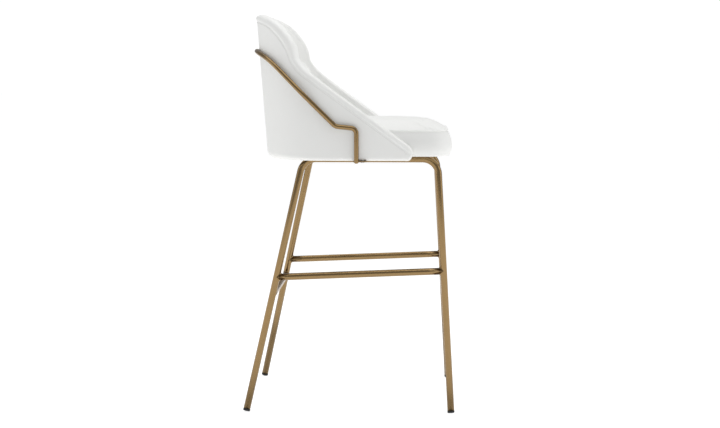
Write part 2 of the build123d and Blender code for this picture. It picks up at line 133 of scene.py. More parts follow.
# The top line seen from the side: depth, height and slope at each place where its bend changes
TOP_LINE = np.array([
    (-0.150, 0.687, 0.729),
    (0.105, 0.873, 0.729),
    (0.124, 0.8885, 0.95),
    (0.140, 0.9085, 1.75),
    (0.148, 0.927, 2.5),
    (0.157, 0.947, 1.9),
    (0.174, 0.972, 1.22),
    (0.200, 0.999, 0.86),
    (0.235, 1.0185, 0.42),
    (0.262, 1.0265, 0.18),
])

# ---------------------------------------------------------------- seat and rod
SEAT_HALF_WIDTH = 0.201
SEAT_FRONT = -0.2665
SEAT_REAR = 0.191
SEAT_FRONT_CORNER = 0.062
SEAT_REAR_CORNER = 0.134
PAD_UNDER_ROLL = 0.004
PAD_GAP = 0.0012
SEWN_BAND = 0.0025
UNDER_ROWS = 12
CLOTH_FRAMES = 20
CLOTH_STIFFNESS = 12.0
SEAT_TUCK = 0.0030
SEAT_TUCK_REACH = 0.0040
SEAT_BOTTOM = 0.6645
SEAT_SEAM = 0.7315
SEAT_HEM_INSET = 0.0065
SEAT_SEAM_INSET = 0.0095
SEAT_CROWN_Y = -0.033
ROD_RADIUS = 0.006
ROD_REACH = ROD_RADIUS + 0.0006
ROD_FOOT_Y = -0.021
ROD_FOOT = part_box("back_rod")[0].z
ROD_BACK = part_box("back_rod")[1].z - ROD_RADIUS


# ================================================================ settings
def length(name, description, default, **limits):
    """A setting in metres."""
    return bpy.props.FloatProperty(
        name=name, description=description, default=default,
        unit="LENGTH", subtype="DISTANCE", precision=5, **limits,
    )


def share(name, description, default, most=1.0):
    """A setting between nothing and a most."""
    return bpy.props.FloatProperty(
        name=name, description=description, default=default, min=0.0, max=most, subtype="FACTOR"
    )


def colour(name, description, default):
    """A colour setting."""
    return bpy.props.FloatVectorProperty(
        name=name, description=description, default=default, size=3, min=0.0, max=1.0, subtype="COLOR"
    )


def power(name, description, default):
    """A light's power."""
    return bpy.props.FloatProperty(name=name, description=description, default=default, min=0.0, unit="POWER")


class BrassSettings(bpy.types.PropertyGroup):
    """The satin brass finish of the frame and the rod."""

    tint: colour("Brass colour", "Colour of the satin brass", (0.325, 0.218, 0.103))
    shade: colour("Brass shade", "Colour in the brush lines", (0.25, 0.164, 0.075))
    roughness: share("Roughness", "How dull the brass is", 0.24)
    weld_size: length("Weld size", "Reach of the weld at each bar's end", 0.0032, min=0.001, max=0.008)


class LeatheretteSettings(bpy.types.PropertyGroup):
    """The white leatherette and its sewing."""

    tint: colour("Leatherette colour", "Colour of the white leatherette", (0.72, 0.722, 0.710))
    shade: colour("Grain colour", "Colour deep in the grain", (0.65, 0.648, 0.630))
    thread: colour("Thread colour", "Colour of the topstitching", (0.72, 0.72, 0.70))
    roughness: share("Roughness", "How dull the leatherette is", 0.46)
    grain: length("Grain size", "Width of one pebble of the grain", 0.0011, min=0.0003, max=0.004)
    stitch: length("Stitch length", "Length of one stitch", 0.0036, min=0.001, max=0.01)
    stitch_gap: length("Stitch gap", "Gap between stitches", 0.0014, min=0.0003, max=0.01)
    roll_height: length(
        "Edge roll height", "How far the padded edge stands over its seam", 0.009, min=0.004, max=0.02
    )


class PaddingSettings(bpy.types.PropertyGroup):
    """How full the cushion and the back pads are."""

    crown: length("Seat crown", "Rise of the seat's top over its seam", 0.0275, min=0.01, max=0.05)
    bulge: length(
        "Seat bulge", "How far the seat's sides stand out between seam and hem", 0.009, min=0.0, max=0.02
    )
    pad_depth: length("Back pad depth", "Thickness of the back pads", 0.036, min=0.01, max=0.05)
    pressure: bpy.props.FloatProperty(
        name="Filling pressure", description="Pressure that fills the covers", default=4.0, min=0.0, max=20.0
    )
    most_swell: length(
        "Most swell", "The furthest that any point of a cover may move", 0.004, min=0.0, max=0.03
    )


class StageSettings(bpy.types.PropertyGroup):
    """The floor, the lights and the camera."""

    floor: colour("Floor colour", "Colour of the studio floor", (0.55, 0.55, 0.55))
    overhead: power("Overhead light", "Power of the light above", 66.0)
    front: power("Front light", "Power of the light ahead of the stool", 24.0)
    rear: power("Rear light", "Power of the light behind the stool", 14.0)
    distance: length("Camera distance", "How far to the side the camera stands", 4.089, min=1.0, max=10.0)
    lens: bpy.props.FloatProperty(
        name="Lens", description="Focal length of the lens", default=75.3, min=20.0, max=200.0, unit="CAMERA"
    )


# ================================================================ shader expressions
class Signal:
    """An output socket that arithmetic can be written with."""

    def __init__(self, recipe, socket):
        self.recipe = recipe
        self.socket = socket

    def _math(self, operation, first, second):
        return self.recipe.add("ShaderNodeMath", {"operation": operation}, {0: first, 1: second})

    def __add__(self, other):
        return self._math("ADD", self, other)

    def __sub__(self, other):
        return self._math("SUBTRACT", self, other)

    def __rsub__(self, other):
        return self._math("SUBTRACT", other, self)

    def __mul__(self, other):
        return self._math("MULTIPLY", self, other)

    __radd__ = __add__
    __rmul__ = __mul__

    def __pow__(self, other):
        return self._math("POWER", self, other)


class Recipe:
    """A material's node tree, built from expressions."""

    def __init__(self, name, **constants):
        self.material = bpy.data.materials.new(name)
        self.material.use_nodes = True
        self.tree = self.material.node_tree
        self.shader = self.tree.nodes["Principled BSDF"]
        for socket, value in constants.items():
            self.shader.inputs[socket.replace("_", " ")].default_value = value

    def add(self, kind, settings=None, inputs=None, output=0):
        """A node of a kind, with its settings set first and then its sockets; returns one output."""
        node = self.tree.nodes.new(kind)
        for key, value in (settings or {}).items():
            if key == "stops":
                self._set_stops(node.color_ramp, value)
            else:
                setattr(node, key, value)
        for key, value in (inputs or {}).items():
            if isinstance(value, Signal):
                self.tree.links.new(value.socket, node.inputs[key])
            else:
                node.inputs[key].default_value = value
        return Signal(self, node.outputs[output])

    @staticmethod
    def _set_stops(ramp, stops):
        while len(ramp.elements) < len(stops):
            ramp.elements.new(1.0)
        for element, (place, level) in zip(ramp.elements, stops):
            element.position = place
            element.color = (level, level, level, 1.0)

    def feed(self, socket, signal):
        """Links a signal to one of the shader's own sockets."""
        self.tree.links.new(signal.socket, self.shader.inputs[socket])

    def place(self):
        """Object coordinates, which are metres in the stool's own frame."""
        return self.add("ShaderNodeTexCoord", output="Object")

    def along(self, *scale):
        """The piece's own UV map, in metres, stretched by a scale in each direction."""
        uv = self.add("ShaderNodeUVMap", {"uv_map": "metres"})
        return self.add("ShaderNodeMapping", {}, {"Vector": uv, "Scale": (scale[0], scale[1], 1.0)})

    def noise(self, vector, scale, detail=2.0, roughness=0.5):
        """Cloudy noise between 0 and 1."""
        inputs = {"Vector": vector, "Scale": scale, "Detail": detail, "Roughness": roughness}
        return self.add("ShaderNodeTexNoise", {}, inputs)

    def blend(self, share_of_second, first, second):
        """A colour between two. The node's factor is its input 0, and its colours are 6 and 7."""
        sockets = {0: share_of_second, 6: (*first, 1.0), 7: (*second, 1.0)}
        return self.add("ShaderNodeMix", {"data_type": "RGBA"}, sockets, output=2)

    def bump(self, height, distance, strength=1.0):
        """Feeds a height in units of a distance to the shader's normal."""
        inputs = {"Height": height, "Distance": distance, "Strength": strength}
        self.feed("Normal", self.add("ShaderNodeBump", {}, inputs))


def satin_brass():
    """Brass-plated tube with fine brush lines along it and faint handling marks."""
    settings = bpy.context.scene.stool_brass
    recipe = Recipe("satin_brass", Metallic=1.0)
    lines = recipe.noise(recipe.along(14.0, 2600.0), 1.0, 3.0, 0.6)
    clouds = recipe.noise(recipe.place(), 38.0, 3.0)
    recipe.feed("Base Color", recipe.blend(lines * 0.6 + clouds * 0.4, settings.tint, settings.shade))
    recipe.feed("Roughness", lines * 0.10 + clouds * 0.06 + (settings.roughness - 0.08))
    recipe.bump(lines, 0.00002, 0.35)
    return recipe.material


def cad_brass():
    """The same brass for small flat plates that have no direction of brushing."""
    settings = bpy.context.scene.stool_brass
    recipe = Recipe("satin_brass_plate", Metallic=1.0)
    clouds = recipe.noise(recipe.place(), 160.0, 4.0)
    recipe.feed("Base Color", recipe.blend(clouds, settings.tint, settings.shade))
    recipe.feed("Roughness", clouds * 0.14 + (settings.roughness - 0.04))
    recipe.bump(clouds, 0.00003, 0.4)
    return recipe.material


def white_leatherette():
    """Smooth white leatherette: fine pebbled grain, darker between the pebbles, and slow undulation."""
    settings = bpy.context.scene.stool_leatherette
    recipe = Recipe(
        "white_leatherette", IOR=1.47, Sheen_Weight=0.06, Sheen_Roughness=0.4, Coat_Roughness=0.35
    )
    place = recipe.place()
    warped = recipe.add(
        "ShaderNodeVectorMath",
        {"operation": "MULTIPLY_ADD"},
        {0: recipe.add("ShaderNodeTexNoise", {}, {"Vector": place, "Scale": 420.0, "Detail": 2.0}, output=1),
         1: (0.0012, 0.0012, 0.0012), 2: place},
    )
    cells = recipe.add(
        "ShaderNodeTexVoronoi",
        {"feature": "DISTANCE_TO_EDGE"},
        {"Vector": warped, "Scale": 1.0 / settings.grain, "Randomness": 0.9},
    )
    pebbles = recipe.add("ShaderNodeValToRGB", {"stops": [(0.0, 0.0), (0.16, 0.75), (0.5, 1.0)]}, {0: cells})
    pores = recipe.noise(place, 2600.0, 2.0)
    sway = recipe.noise(place, 26.0, 3.0)
    wear = recipe.noise(place, 7.0, 3.0, 0.6)
    depth = 0.72 - pebbles * 0.5 + wear * 0.25
    recipe.feed("Base Color", recipe.blend(depth * 0.55, settings.tint, settings.shade))
    recipe.feed("Roughness", (settings.roughness - 0.03) - pebbles * 0.05 + wear * 0.10)
    recipe.feed("Coat Weight", wear * 0.12)
    height = pebbles * 0.5 + pores * 0.15 + sway * 2.4
    recipe.bump(height, 0.00011, 0.5)
    return recipe.material


def sewing_thread():
    """Twisted polyester thread."""
    settings = bpy.context.scene.stool_leatherette
    recipe = Recipe("sewing_thread", Sheen_Weight=0.2, Roughness=0.6)
    fibres = recipe.noise(recipe.place(), 3200.0, 2.0)
    dark = tuple(0.82 * level for level in settings.thread)
    recipe.feed("Base Color", recipe.blend(fibres, settings.thread, dark))
    recipe.bump(fibres, 0.0001, 0.5)
    return recipe.material


def black_plastic():
    """Moulded black nylon with a faint spark-eroded texture."""
    recipe = Recipe("black_plastic", Specular_IOR_Level=0.45)
    grains = recipe.noise(recipe.place(), 1900.0, 3.0)
    scuffs = recipe.noise(recipe.place(), 130.0, 4.0, 0.65)
    recipe.feed("Base Color", recipe.blend(scuffs, (0.010, 0.010, 0.011), (0.024, 0.024, 0.025)))
    recipe.feed("Roughness", grains * 0.12 + scuffs * 0.12 + 0.32)
    recipe.bump(grains, 0.00004, 0.5)
    return recipe.material


def black_powder_coat():
    """Black powder coat on the hidden mounting bars."""
    recipe = Recipe("black_powder_coat", Specular_IOR_Level=0.5)
    peel = recipe.noise(recipe.place(), 900.0, 2.0)
    recipe.feed("Base Color", recipe.blend(peel, (0.012, 0.012, 0.012), (0.028, 0.028, 0.028)))
    recipe.feed("Roughness", peel * 0.2 + 0.38)
    recipe.bump(peel, 0.00008, 0.5)
    return recipe.material


def black_dust_cloth():
    """Non-woven black cloth: short crossed fibres pressed flat."""
    recipe = Recipe("black_dust_cloth", Sheen_Weight=0.15, Sheen_Roughness=0.6, Roughness=0.92)
    place = recipe.place()
    across = recipe.add("ShaderNodeMapping", {}, {"Vector": place, "Scale": (2400.0, 240.0, 400.0)})
    down = recipe.add("ShaderNodeMapping", {}, {"Vector": place, "Scale": (240.0, 2400.0, 400.0)})
    fibres = recipe.noise(across, 1.0, 2.0) * 0.5 + recipe.noise(down, 1.0, 2.0) * 0.5
    recipe.feed("Base Color", recipe.blend(fibres, (0.006, 0.006, 0.006), (0.022, 0.022, 0.023)))
    recipe.bump(fibres, 0.0003, 0.6)
    return recipe.material


def birch_plywood():
    """Raw birch: long grain with a few darker streaks."""
    recipe = Recipe("birch_plywood", Roughness=0.65)
    stretched = recipe.add("ShaderNodeMapping", {}, {"Vector": recipe.place(), "Scale": (60.0, 4.0, 420.0)})
    grain = recipe.noise(stretched, 1.0, 5.0, 0.6)
    recipe.feed("Base Color", recipe.blend(grain, (0.62, 0.44, 0.26), (0.42, 0.27, 0.14)))
    recipe.bump(grain, 0.0001, 0.4)
    return recipe.material


def bright_zinc():
    """Bright zinc-plated screws."""
    recipe = Recipe("bright_zinc", Metallic=1.0)
    marks = recipe.noise(recipe.place(), 700.0, 3.0)
    recipe.feed("Base Color", recipe.blend(marks, (0.72, 0.73, 0.75), (0.55, 0.56, 0.58)))
    recipe.feed("Roughness", marks * 0.2 + 0.16)
    return recipe.material


def studio_floor():
    """Matt white studio floor, very slightly mottled."""
    settings = bpy.context.scene.stool_stage
    recipe = Recipe("studio_floor", Roughness=0.8, Specular_IOR_Level=0.2, Emission_Strength=0.80)
    recipe.shader.inputs["Emission Color"].default_value = (1.0, 1.0, 1.0, 1.0)
    mottle = recipe.noise(recipe.place(), 3.0, 2.0)
    dark = tuple(0.985 * level for level in settings.floor)
    recipe.feed("Base Color", recipe.blend(mottle, settings.floor, dark))
    return recipe.material


MATERIALS = {
    "satin_brass": satin_brass,
    "satin_brass_plate": cad_brass,
    "white_leatherette": white_leatherette,
    "sewing_thread": sewing_thread,
    "black_plastic": black_plastic,
    "black_powder_coat": black_powder_coat,
    "black_dust_cloth": black_dust_cloth,
    "birch_plywood": birch_plywood,
    "bright_zinc": bright_zinc,
    "studio_floor": studio_floor,
}


def material(name):
    """The named material, made the first time it is asked for."""
    return bpy.data.materials.get(name) or MATERIALS[name]()


# ================================================================ meshes from grids
def unit(vectors):
    """Vectors scaled to length one along the last axis."""
    return vectors / np.maximum(np.linalg.norm(vectors, axis=-1, keepdims=True), 1e-12)


def dot(first, second):
    """Dot products along the last axis, kept as a column."""
    return np.sum(first * second, axis=-1, keepdims=True)


def grid_faces(rows, columns, wrap_rows, wrap_columns):
    """Four corners of each cell of a grid, as vertex numbers and as unwrapped row and column numbers."""
    cells_down = rows if wrap_rows else rows - 1
    cells_across = columns if wrap_columns else columns - 1
    i, j = np.meshgrid(np.arange(cells_down), np.arange(cells_across), indexing="ij")
    row = np.stack([i, i, i + 1, i + 1], axis=-1).reshape(-1, 4)
    column = np.stack([j, j + 1, j + 1, j], axis=-1).reshape(-1, 4)
    return (row % rows) * columns + column % columns, row, column


def grid_lengths(points, wrap, axis):
    """Running length along one axis of a grid, averaged across it, with the closing step if it wraps."""
    if wrap:
        points = np.concatenate([points, np.take(points, [0], axis=axis)], axis=axis)
    steps = np.linalg.norm(np.diff(points, axis=axis), axis=-1).mean(axis=1 - axis)
    return np.concatenate([[0.0], np.cumsum(steps)])


def grid_piece(
    name, points, material_name, slot, wrap_rows=False, wrap_columns=False, caps=False, turn=False
):
    """A smooth mesh through a grid of points, with a UV map in metres.

    The grid's rows follow the first parameter and its columns the second. With caps, a point at the
    middle of the first and of the last row closes each end with a fan. With turn, faces look the
    other way.
    """
    rows, columns = points.shape[:2]
    quads, row, column = grid_faces(rows, columns, wrap_rows, wrap_columns)
    v = grid_lengths(points, wrap_rows, 0)
    u = grid_lengths(points, wrap_columns, 1)
    faces = quads.tolist()
    uv = np.stack([v[row], u[column]], axis=-1).reshape(-1, 2)
    vertices = points.reshape(-1, 3)
    if caps:
        ring = np.arange(columns)
        middle = len(vertices)
        vertices = np.concatenate([vertices, points[[0, -1]].mean(axis=1)])
        first = np.stack([np.full(columns, middle), (ring + 1) % columns, ring], axis=-1)
        last = np.stack([np.full(columns, middle + 1), ring, (ring + 1) % columns], axis=-1)
        last[:, 1:] += (rows - 1) * columns
        faces += first.tolist() + last.tolist()
        uv = np.concatenate([uv, np.zeros((6 * columns, 2))])
    mesh = bpy.data.meshes.new(name)
    mesh.from_pydata(vertices.tolist(), [], faces)
    layer = mesh.uv_layers.new(name="metres")
    layer.data.foreach_set("uv", uv.ravel())
    if turn:
        mesh.flip_normals()
    mesh.polygons.foreach_set("use_smooth", np.ones(len(mesh.polygons), bool))
    return piece_of(name, mesh, material_name)


def piece_of(name, mesh, material_name):
    """An object for a mesh that is already in place, riding on the stool."""
    mesh.materials.append(material(material_name))
    mesh.validate()
    mesh.update()
    piece = bpy.data.objects.new(name, mesh)
    bpy.context.scene.collection.objects.link(piece)
    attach(piece, BODY)
    return piece


def filleted(corners, radii):
    """A line through corners, each rounded by an arc of its own radius.

    The arc touches both runs at radius times the tangent of half the turn from the corner; its centre
    is that far off along the bisector, and its points are the centre plus the radius turned steadily.
    """
    corners = np.asarray(corners, float)
    line = [corners[:1]]
    for before, corner, after, radius in zip(corners, corners[1:], corners[2:], radii):
        back, ahead = unit(before - corner), unit(after - corner)
        half_turn = (math.pi - math.acos(float(np.clip(back @ ahead, -1, 1)))) / 2
        start = corner + back * radius * math.tan(half_turn)
        centre = corner + unit(back + ahead) * radius / math.cos(half_turn)
        spoke = unit(start - centre)
        angle = np.linspace(0, 2 * half_turn, ARC_STEPS)[:, None]
        line.append(centre + radius * (spoke * np.cos(angle) - back * np.sin(angle)))
    line.append(corners[-1:])
    return np.concatenate(line)


def tube_grid(path, radius, across, segments=SEGMENTS_ROUND):
    """Rings of a radius, or one radius each, square to a path; across is any direction off the path."""
    tangent = unit(np.gradient(path, axis=0))
    side = unit(across - dot(across, tangent) * tangent)
    other = np.cross(tangent, side)
    angle = np.linspace(0, 2 * math.pi, segments, endpoint=False)[None, :, None]
    radius = np.broadcast_to(np.asarray(radius, float), (len(path),))[:, None, None]
    return path[:, None] + radius * (side[:, None] * np.cos(angle) + other[:, None] * np.sin(angle))


# ================================================================ tube frame
def leg_point(side, end, height):
    """A point of a leg's centre line."""
    foot, corner = LEGS[end]
    along = height / RAIL_HEIGHT
    x = FLOOR_HALF_WIDTH + (RAIL_HALF_WIDTH - FLOOR_HALF_WIDTH) * along
    return np.array([SIDES[side] * x, foot + (corner - foot) * along, height])


def leg_direction(side, end):
    """The unit vector up a leg."""
    return unit(leg_point(side, end, RAIL_HEIGHT) - leg_point(side, end, 0.0))


def sole(side, end):
    """The middle of a cap's sole, high enough for its rounded rim to rest on the floor."""
    cosine = leg_direction(side, end)[2]
    height = (CAP_RADIUS - CAP_EDGE) * math.sqrt(1 - cosine**2) + CAP_EDGE * (1 - cosine)
    return leg_point(side, end, height)


class STOOL_OT_side_frames(bpy.types.Operator):
    """Make the two bent tubes that are legs and rail in one"""

    bl_idname = "stool.side_frames"
    bl_label = "Side frames"

    def execute(self, context):
        for side in SIDES:
            ends = [sole(side, end) + leg_direction(side, end) * CAP_HEIGHT for end in ("rear", "front")]
            corners = [ends[0], *(leg_point(side, end, RAIL_HEIGHT) for end in ("rear", "front")), ends[1]]
            path = filleted(corners, [BEND_RADIUS, BEND_RADIUS])
            flat_normal = unit(np.cross(corners[1] - corners[0], corners[2] - corners[1]))
            grid = tube_grid(path, TUBE_RADIUS, flat_normal)
            tube = grid_piece(f"side_frame_{side}_tube", grid, *BRASS, wrap_columns=True, caps=True)
            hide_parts(f"side_frame_{side}")
        return {"FINISHED"}


def bar_spokes(direction, leg):
    """Spokes of a bar's own radius square to it, starting from the one nearest to the leg's direction."""
    up = unit(leg - dot(leg, direction) * direction)
    side = np.cross(direction, up)
    angle = np.linspace(0, 2 * math.pi, SEGMENTS_ROUND, endpoint=False)[:, None]
    return TUBE_RADIUS * (up * np.cos(angle) + side * np.sin(angle))


def reach_to_leg(direction, spokes, leg):
    """How far along a bar each of its surface lines meets the leg.

    A line parallel to the bar's axis meets the leg's cylinder where its distance from the leg's axis
    is the leg's radius, which is a quadratic in the distance along the bar.
    """
    flat_spokes = spokes - dot(spokes, leg) * leg
    flat_direction = direction - dot(direction, leg) * leg
    middle = dot(flat_spokes, flat_direction)
    run = dot(flat_direction, flat_direction)
    root = np.maximum(middle**2 - run * (dot(flat_spokes, flat_spokes) - TUBE_RADIUS**2), 0.0)
    return (np.sqrt(root) - middle) / run


class STOOL_OT_cross_bars(bpy.types.Operator):
    """Make the stretchers and the footrest, their ends shaped to the legs"""

    bl_idname = "stool.cross_bars"
    bl_label = "Stretchers and footrest"

    def execute(self, context):
        for name, (first, last) in BARS.items():
            start, end = leg_point(*first), leg_point(*last)
            direction = unit(end - start)
            first_leg, last_leg = leg_direction(*first[:2]), leg_direction(*last[:2])
            spokes = bar_spokes(direction, first_leg)
            near = reach_to_leg(direction, spokes, first_leg)
            far = reach_to_leg(-direction, spokes, last_leg)
            rows = np.linspace(0, 1, 12)[:, None, None]
            near_ring = start + spokes + (near - BAR_SUNK) * direction
            far_ring = end + spokes - (far - BAR_SUNK) * direction
            grid = near_ring * (1 - rows) + far_ring * rows
            bar = grid_piece(f"{name}_tube", grid, *BRASS, wrap_columns=True, caps=True)
            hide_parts(name)
        return {"FINISHED"}


def weld_grid(joint, toward, leg, size, phase):
    """A concave ring of weld between a bar and a leg.

    Each cross-section is a quadratic curve from a point on the bar to a point on the leg, pulled to
    the saddle between them, and closed by a point sunk under the saddle. The reach is widest along
    the leg and small at the leg's sides, and a slow ripple makes the beads.
    """
    direction = unit(toward - joint)
    spokes = bar_spokes(direction, leg)
    distance = reach_to_leg(direction, spokes, leg)
    lift = np.abs(dot(unit(spokes), leg))
    angle = np.linspace(0, 2 * math.pi, SEGMENTS_ROUND, endpoint=False)[:, None]
    ripple = 1 + WELD_RIPPLE * np.sin(WELD_BEADS * angle + phase)
    reach = size * (WELD_AT_SIDES + WELD_ALONG_LEG * lift**1.5) * ripple
    corner = spokes + distance * direction
    on_bar = corner + reach * direction
    outer = corner + reach * unit(spokes)
    off_leg = outer - dot(outer, leg) * leg
    on_leg = unit(off_leg) * TUBE_RADIUS + dot(outer, leg) * leg
    t = np.linspace(0, 1, 9)[:, None, None]
    pulled = corner + WELD_FULLNESS * reach * (direction + unit(spokes))
    curve = (1 - t) ** 2 * on_bar + 2 * t * (1 - t) * pulled + t**2 * on_leg
    sunk = corner - WELD_SUNK * (direction + unit(spokes))
    return joint + np.concatenate([curve, sunk[None]])


class STOOL_OT_welds(bpy.types.Operator):
    """Make the eight welds between bars and legs"""

    bl_idname = "stool.welds"
    bl_label = "Welds"

    def execute(self, context):
        size = context.scene.stool_brass.weld_size
        joints = [(name, pair) for name, ends in BARS.items() for pair in (ends, ends[::-1])]
        for number, (name, (here, there)) in enumerate(joints):
            grid = weld_grid(leg_point(*here), leg_point(*there), leg_direction(*here[:2]), size, number)
            weld_name = f"weld_{name}_{here[0]}_{here[1]}"
            weld = grid_piece(weld_name, grid, *BRASS, wrap_rows=True, wrap_columns=True, turn=True)
            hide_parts("weld_fillets")
        return {"FINISHED"}


class STOOL_OT_foot_caps(bpy.types.Operator):
    """Make the four plastic caps: a profile of radius and height turned round each leg's axis"""

    bl_idname = "stool.foot_caps"
    bl_label = "Foot caps"

    def execute(self, context):
        corner = np.linspace(0, math.pi / 2, 9)
        flat = CAP_RADIUS - CAP_EDGE
        profile = np.concatenate([
            np.stack([np.array([0.3, 0.7]) * flat, np.zeros(2)], axis=-1),
            np.stack([flat + CAP_EDGE * np.sin(corner), CAP_EDGE * (1 - np.cos(corner))], axis=-1),
            [(CAP_RADIUS, CAP_HEIGHT - 0.0005), (CAP_RADIUS - 0.0005, CAP_HEIGHT)],
            [(CAP_STEM_RADIUS, CAP_HEIGHT), (CAP_STEM_RADIUS, CAP_HEIGHT + CAP_STEM_LENGTH)],
        ])
        for side in SIDES:
            for end in LEGS:
                axis = leg_direction(side, end)
                path = sole(side, end) + profile[:, 1:] * axis
                straight = sole(side, end) + np.arange(len(profile))[:, None] * axis
                rings = tube_grid(straight, profile[:, 0], np.array([[1.0, 0.0, 0.0]]))
                grid = rings - straight[:, None] + path[:, None]
                name = f"foot_cap_{end}_{side}"
                cap = grid_piece(
                    f"{name}_moulding", grid, "black_plastic", "black_plastic", wrap_columns=True, caps=True
                )
                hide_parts(name)
        return {"FINISHED"}


def shell_rear(height):
    """Depth of the shell's rear face at a height."""
    return SHELL_REAR + SHELL_LEAN * (height - SHELL_BOTTOM)


class STOOL_OT_back_rod(bpy.types.Operator):
    """Make the rod: upright, shoulder, slope and once round the back"""

    bl_idname = "stool.back_rod"
    bl_label = "Back rod"

    def execute(self, context):
        x = SHELL_HALF_WIDTH + ROD_REACH
        round_radius = CORNER_RADIUS + ROD_REACH
        corner_x = x - round_radius
        corner_y = shell_rear(ROD_BACK) + ROD_REACH - round_radius
        angles = np.radians([15.0, 45.0, 75.0])
        vertex_radius = round_radius / math.cos(angles[0])
        shoulder_z, elbow_y, elbow_z, rise = 0.7385, 0.033, 0.744, 0.986
        bends = np.stack([
            corner_x + vertex_radius * np.cos(angles),
            corner_y + vertex_radius * np.sin(angles),
            np.full(3, ROD_BACK),
        ], axis=-1)
        bends[:2, 2] = elbow_z + rise * (bends[:2, 1] - elbow_y)
        end = 0.004
        upright = [(x, ROD_FOOT_Y, ROD_FOOT), (x, ROD_FOOT_Y, shoulder_z), (x, elbow_y, elbow_z)]
        half = np.concatenate([upright, bends])
        radii = [0.015, 0.020, 0.165, 0.125, 0.150]
        mirrored = half * np.array([-1.0, 1.0, 1.0])
        path = filleted(np.concatenate([mirrored, half[::-1]]), radii + radii[::-1])
        angle = np.linspace(0, math.pi / 2, 7)[:-1]
        rounding = np.zeros((len(angle), 3))
        rounding[:, 2] = end * (1 - np.cos(angle))
        foot_radii = ROD_RADIUS - end + end * np.sin(angle)
        path = np.concatenate([path[0] + rounding, [path[0] + (0, 0, end)], path[1:-1],
                               [path[-1] + (0, 0, end)], (path[-1] + rounding)[::-1]])
        thickness = np.full(len(path), ROD_RADIUS)
        thickness[: len(angle)] = foot_radii
        thickness[-len(angle):] = foot_radii[::-1]
        outward = path * np.array([1.0, 1.0, 0.0])
        grid = tube_grid(path, thickness, unit(outward))
        rod = grid_piece("back_rod_bent", grid, *BRASS, wrap_columns=True, caps=True)
        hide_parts("back_rod")
        return {"FINISHED"}


# ================================================================ shell surfaces
def top_height(depth):
    """Height of the top line at a depth: a cubic between places, with their slopes."""
    y, z, slope = TOP_LINE.T
    place = np.clip(np.searchsorted(y, depth) - 1, 0, len(y) - 2)
    width = y[place + 1] - y[place]
    t = np.clip((depth - y[place]) / width, 0, 1)
    rise = (1 + 2 * t) * (1 - t) ** 2 * z[place] + t**2 * (3 - 2 * t) * z[place + 1]
    return rise + width * (t * (1 - t) ** 2 * slope[place] - t**2 * (1 - t) * slope[place + 1])


def plan_point(along, height, inward=0.0):
    """A point of the shell's plan and its outward direction.

    along is the distance round the plan from the middle of the back, negative to the left: half the
    flat rear, then a quarter circle, then a straight side. inward moves the point off the face.
    """
    flat = SHELL_HALF_WIDTH - CORNER_RADIUS
    quarter = CORNER_RADIUS * math.pi / 2
    distance = np.abs(along)
    angle = np.clip((distance - flat) / CORNER_RADIUS, 0, math.pi / 2)
    straight = np.maximum(distance - flat - quarter, 0)
    radius = CORNER_RADIUS - inward
    x = np.minimum(distance, flat) + radius * np.sin(angle)
    y = shell_rear(height) - CORNER_RADIUS + radius * np.cos(angle) - straight
    side = np.sign(along)
    normal = np.stack([side * np.sin(angle), np.cos(angle), 0 * angle], axis=-1)
    return np.stack([side * x, y, height + 0 * x], axis=-1), normal


def along_for_depth(depth, height):
    """Distance round the plan at which the face has a depth, on the right-hand side."""
    flat = SHELL_HALF_WIDTH - CORNER_RADIUS
    centre = shell_rear(height) - CORNER_RADIUS
    cosine = np.clip((depth - centre) / CORNER_RADIUS, 0, 1)
    return flat + CORNER_RADIUS * np.arccos(cosine) + np.maximum(centre - depth, 0)


def settled_height(edge, along, start=0.8):
    """Height of an edge over each place round the plan; edge gives the height at a depth.

    The shell leans, so the depth hangs on the height too, and the two are worked out in turn from
    a start height until they settle.
    """
    height = np.full(along.shape, start)
    for _ in range(SETTLING_ROUNDS):
        height = edge(plan_point(along, height)[0][..., 1])
    return height


def seam_curve(count=420):
    """The seam between outer cover and edge roll, from the left arm's foot round to the right arm's.

    Each arm's tip is a quadratic curve in the side's plane, from its foot to the start of the
    straight arm; the rest follows the top line round the plan. Points are evenly spaced.
    """
    tip = np.linspace(0, 1, 40)
    foot = np.array([TIP_FOOT, SHELL_BOTTOM + 0.006])
    front = np.array([TIP_FRONT - 0.005, 0.670])
    arm = TOP_LINE[0, :2]
    curve = (1 - tip)[:, None] ** 2 * foot + (2 * tip * (1 - tip))[:, None] * front + tip[:, None] ** 2 * arm
    tip_points = np.stack([np.full(len(tip), SHELL_HALF_WIDTH), curve[:, 0], curve[:, 1]], axis=-1)
    reach = along_for_depth(ARM_LOW + 0.0005, TOP_LINE[0, 1])
    along = np.linspace(reach, 0, 600)
    height = settled_height(top_height, along, 0.85)
    rest = plan_point(along, height)[0]
    half = np.concatenate([tip_points, rest[:-1]])
    whole = np.concatenate([half, half[::-1] * np.array([-1.0, 1.0, 1.0])])[::-1]
    distance = np.concatenate([[0], np.cumsum(np.linalg.norm(np.diff(whole, axis=0), axis=1))])
    even = np.linspace(0, distance[-1], count)
    points = np.stack([np.interp(even, distance, whole[:, axis]) for axis in range(3)], axis=-1)
    return smoothed(points, 2)


def smoothed(points, times):
    """Points averaged with their neighbours, ends kept."""
    for _ in range(times):
        points = np.concatenate([points[:1], (points[:-2] + 2 * points[1:-1] + points[2:]) / 4, points[-1:]])
    return points


